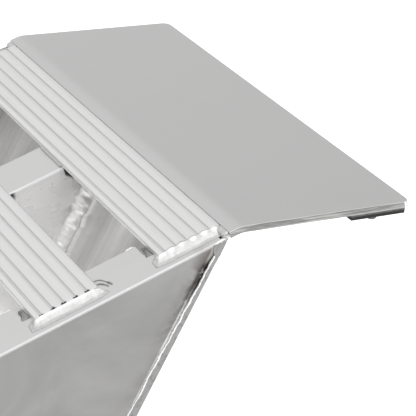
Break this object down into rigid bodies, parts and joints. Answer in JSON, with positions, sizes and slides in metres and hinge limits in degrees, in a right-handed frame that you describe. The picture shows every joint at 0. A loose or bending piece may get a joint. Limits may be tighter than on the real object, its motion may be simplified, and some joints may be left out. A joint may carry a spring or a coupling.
{
  "type": "loading ramp",
  "caption": "Welded aluminium loading ramp: channel rails under ribbed cross treads, a bent top lip with a rubber pad below, and a tapered foot.",
  "frame": {"origin": "middle of the plan, on the plane that the rails stand on", "axes": "+X up the ramp towards the lip, +Y across the ramp, +Z out of the treads"},
  "size_m": [1.8, 0.48, 0.1563],
  "materials": {
    "rail_aluminium": "mill-finish extruded channel, satin, with faint drawing lines",
    "tread_aluminium": "extruded ribs, fine satin",
    "plate_aluminium": "smooth rolled plate, light brushing",
    "tie_aluminium": "mill-finish flat bar",
    "pad_rubber": "moulded black rubber, matt",
    "screw_steel": "plain zinc-plated steel"
  },
  "bodies": {
    "root": {"cross_tie_far_1": "tie_aluminium", "cross_tie_far_2": "tie_aluminium", "cross_tie_far_3": "tie_aluminium", "cross_tie_near_1": "tie_aluminium", "cross_tie_near_2": "tie_aluminium", "cross_tie_near_3": "tie_aluminium", "end_plate": "plate_aluminium", "foot_pad": "pad_rubber", "foot_plate": "plate_aluminium", "foot_screw_1": "screw_steel", "foot_screw_2": "screw_steel", "foot_screw_3": "screw_steel", "foot_screw_4": "screw_steel", "lip_pad": "pad_rubber", "lip_plate": "plate_aluminium", "lip_screw_1": "screw_steel", "lip_screw_2": "screw_steel", "lip_screw_3": "screw_steel", "lip_screw_4": "screw_steel", "rail_far": "rail_aluminium", "rail_middle": "rail_aluminium", "rail_near": "rail_aluminium", "toe_plate": "plate_aluminium", "tread_01": "tread_aluminium", "tread_02": "tread_aluminium", "tread_03": "tread_aluminium", "tread_04": "tread_aluminium", "tread_05": "tread_aluminium", "tread_06": "tread_aluminium", "tread_07": "tread_aluminium", "tread_08": "tread_aluminium", "tread_09": "tread_aluminium", "tread_10": "tread_aluminium", "tread_11": "tread_aluminium", "tread_12": "tread_aluminium", "tread_13": "tread_aluminium"}
  },
  "joints": []
}
